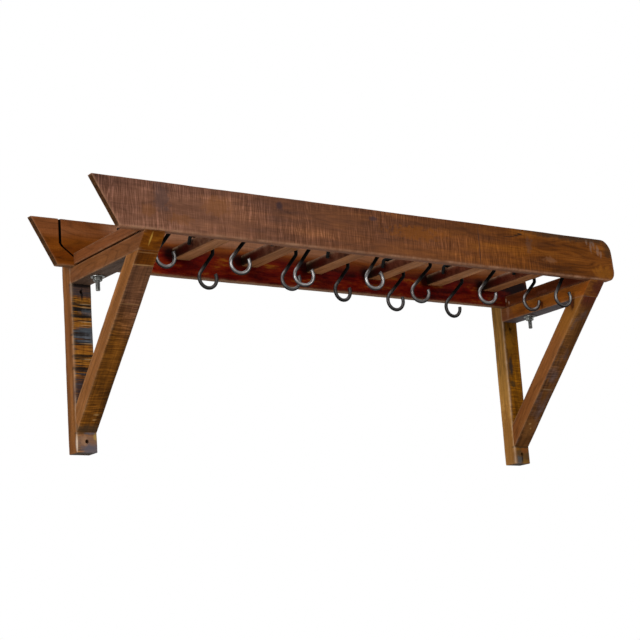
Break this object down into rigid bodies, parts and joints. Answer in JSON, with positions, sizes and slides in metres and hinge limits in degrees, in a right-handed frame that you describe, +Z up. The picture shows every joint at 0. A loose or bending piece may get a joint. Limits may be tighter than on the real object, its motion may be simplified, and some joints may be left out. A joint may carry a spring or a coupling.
{
  "type": "wall coat rack",
  "caption": "Wall coat rack of reclaimed timber: a shelf of slats between two boards on edge, on braced wall brackets, with loose S-hooks on the slats for coats",
  "frame": {"origin": "centre of the four wall screws, in the plane of the wall", "axes": "+X along the boards to the right seen from the room, +Y into the wall, +Z up"},
  "size_m": [1.3898, 0.358, 0.489],
  "materials": {
    "front_board_wood": "old sawn softwood, stained brown and waxed, with fine upright saw marks",
    "back_board_wood": "old sawn softwood, stained red-brown and waxed",
    "slat_wood": "old sawn softwood, lighter brown stain, waxed",
    "beam_wood": "old sawn softwood, dark red-brown stain, waxed",
    "bracket_wood": "old sawn softwood, golden brown stain with grey-black weathering, waxed",
    "dowel_wood": "plain beech dowel",
    "hook_steel": "blackened round bar, worn to grey metal in the bowls",
    "bolt_steel": "zinc plated, dulled",
    "screw_steel": "yellow passivated zinc"
  },
  "bodies": {
    "rack": {"back_board": "back_board_wood", "back_board_end": "back_board_wood", "board_screws": "screw_steel", "brace_dowels": "dowel_wood", "carriage_bolts": "bolt_steel", "front_board": "front_board_wood", "hex_nuts": "bolt_steel", "left_arm": "bracket_wood", "left_brace": "bracket_wood", "left_cross_beam": "beam_wood", "left_post": "bracket_wood", "right_arm": "bracket_wood", "right_brace": "bracket_wood", "right_cross_beam": "beam_wood", "right_post": "bracket_wood", "slat_1": "slat_wood", "slat_2": "slat_wood", "slat_3": "slat_wood", "slat_4": "slat_wood", "slat_5": "slat_wood", "slat_6": "slat_wood", "slat_7": "slat_wood", "washers": "bolt_steel"},
    "hook_01": {"hook_01": "hook_steel"},
    "hook_02": {"hook_02": "hook_steel"},
    "hook_03": {"hook_03": "hook_steel"},
    "hook_04": {"hook_04": "hook_steel"},
    "hook_05": {"hook_05": "hook_steel"},
    "hook_06": {"hook_06": "hook_steel"},
    "hook_07": {"hook_07": "hook_steel"},
    "hook_08": {"hook_08": "hook_steel"},
    "hook_09": {"hook_09": "hook_steel"},
    "hook_10": {"hook_10": "hook_steel"},
    "hook_11": {"hook_11": "hook_steel"},
    "hook_12": {"hook_12": "hook_steel"},
    "hook_13": {"hook_13": "hook_steel"},
    "hook_14": {"hook_14": "hook_steel"}
  },
  "joints": [
    {"name": "hook_01_slide", "type": "slide", "parent": "rack", "child": "hook_01", "axis": [0, 1, 0], "range_m": [-0.0655, 0.0527]},
    {"name": "hook_02_slide", "type": "slide", "parent": "rack", "child": "hook_02", "axis": [0, 1, 0], "range_m": [-0.0527, 0.0938]},
    {"name": "hook_03_slide", "type": "slide", "parent": "rack", "child": "hook_03", "axis": [0, 1, 0], "range_m": [-0.0564, 0.06]},
    {"name": "hook_04_slide", "type": "slide", "parent": "rack", "child": "hook_04", "axis": [0, 1, 0], "range_m": [-0.06, 0.0819]},
    {"name": "hook_05_slide", "type": "slide", "parent": "rack", "child": "hook_05", "axis": [0, 1, 0], "range_m": [-0.0824, 0.0148]},
    {"name": "hook_06_slide", "type": "slide", "parent": "rack", "child": "hook_06", "axis": [0, 1, 0], "range_m": [-0.0148, 0.1352]},
    {"name": "hook_07_slide", "type": "slide", "parent": "rack", "child": "hook_07", "axis": [0, 1, 0], "range_m": [-0.0692, 0.0495]},
    {"name": "hook_08_slide", "type": "slide", "parent": "rack", "child": "hook_08", "axis": [0, 1, 0], "range_m": [-0.0495, 0.09]},
    {"name": "hook_09_slide", "type": "slide", "parent": "rack", "child": "hook_09", "axis": [0, 1, 0], "range_m": [-0.1088, 0.0406]},
    {"name": "hook_10_slide", "type": "slide", "parent": "rack", "child": "hook_10", "axis": [0, 1, 0], "range_m": [-0.0406, 0.0648]},
    {"name": "hook_11_slide", "type": "slide", "parent": "rack", "child": "hook_11", "axis": [0, 1, 0], "range_m": [-0.0899, 0.0485]},
    {"name": "hook_12_slide", "type": "slide", "parent": "rack", "child": "hook_12", "axis": [0, 1, 0], "range_m": [-0.0485, 0.068]},
    {"name": "hook_13_slide", "type": "slide", "parent": "rack", "child": "hook_13", "axis": [0, 1, 0], "range_m": [-0.0373, 0.0454]},
    {"name": "hook_14_slide", "type": "slide", "parent": "rack", "child": "hook_14", "axis": [0, 1, 0], "range_m": [-0.0454, 0.1216]}
  ]
}
